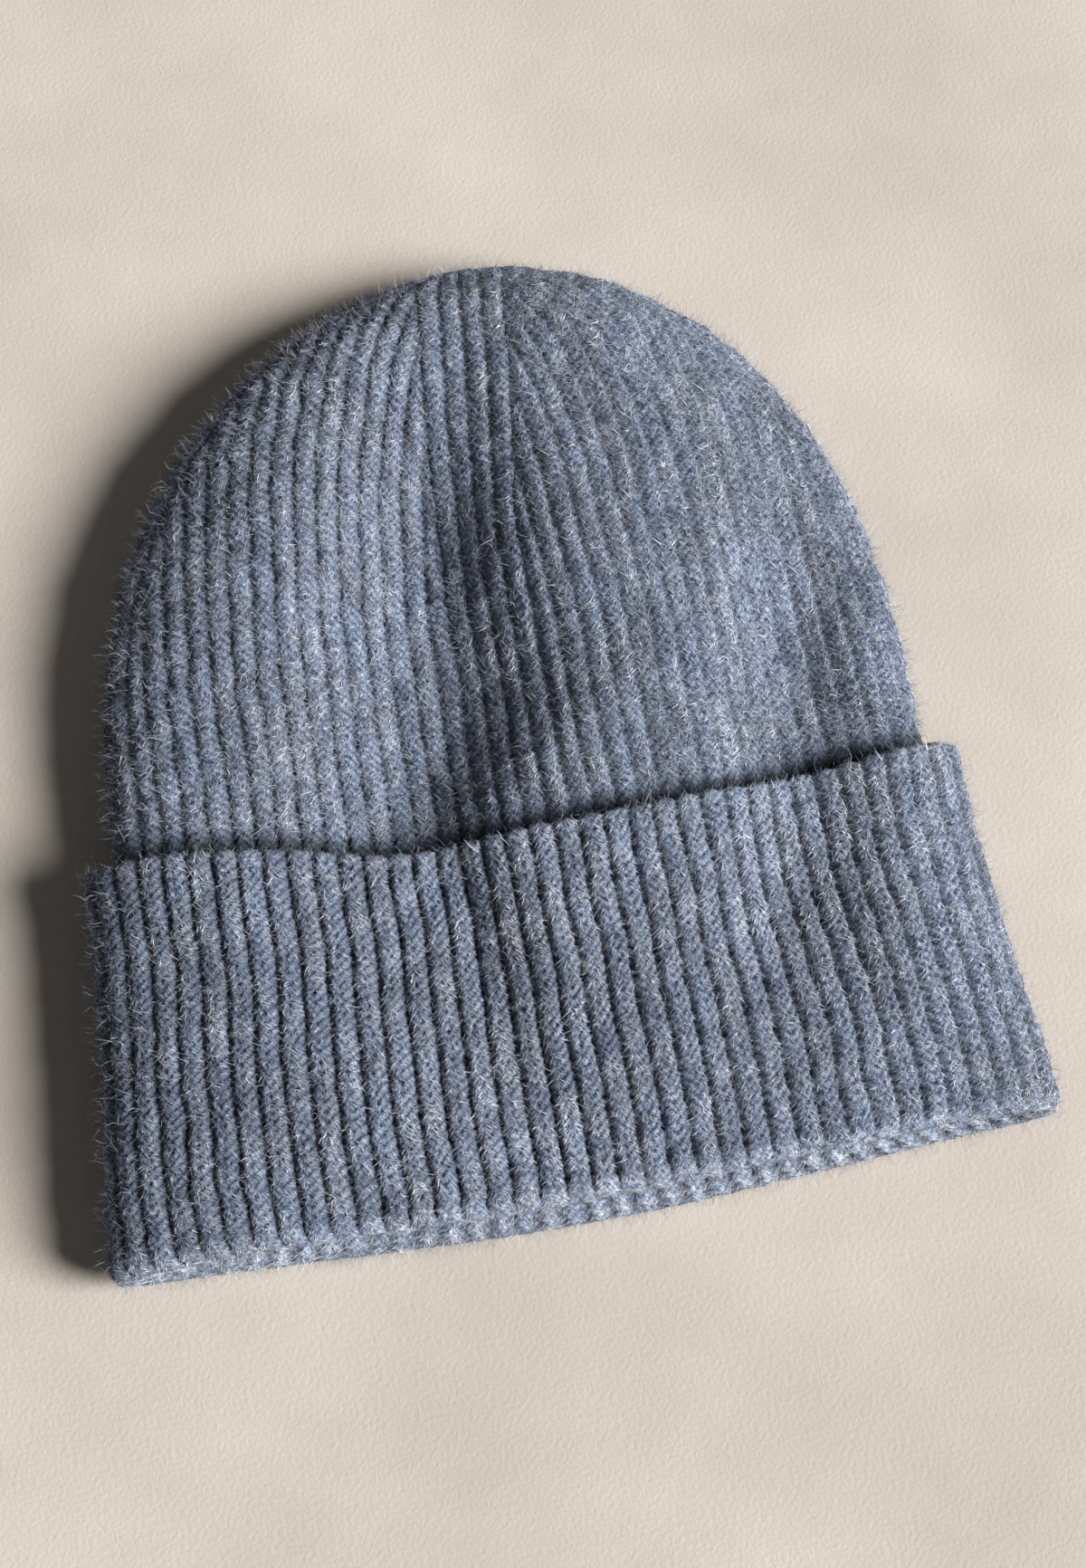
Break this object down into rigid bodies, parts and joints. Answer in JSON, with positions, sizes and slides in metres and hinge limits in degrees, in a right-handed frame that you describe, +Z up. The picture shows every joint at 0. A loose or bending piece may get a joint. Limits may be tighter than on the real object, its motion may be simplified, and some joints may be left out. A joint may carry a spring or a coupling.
{
  "type": "cuffed beanie",
  "caption": "Rib-knit woollen cap with a domed crown and a turned-up cuff, lying flat on its back panel, open at the fold.",
  "frame": {"origin": "middle of the hat's footprint, on the table it lies on", "axes": "+X across the hat to its right side as seen from above, +Y from the head opening to the crown's tip, +Z up from the table through the front panel"},
  "size_m": [0.2218, 0.2454, 0.0336],
  "materials": {
    "crown_wool": "blue-grey melange wool, ribbed, softly felted",
    "cuff_wool": "blue-grey melange wool, ribbed, softly felted"
  },
  "bodies": {
    "root": {"crown": "crown_wool", "cuff": "cuff_wool"}
  },
  "joints": []
}
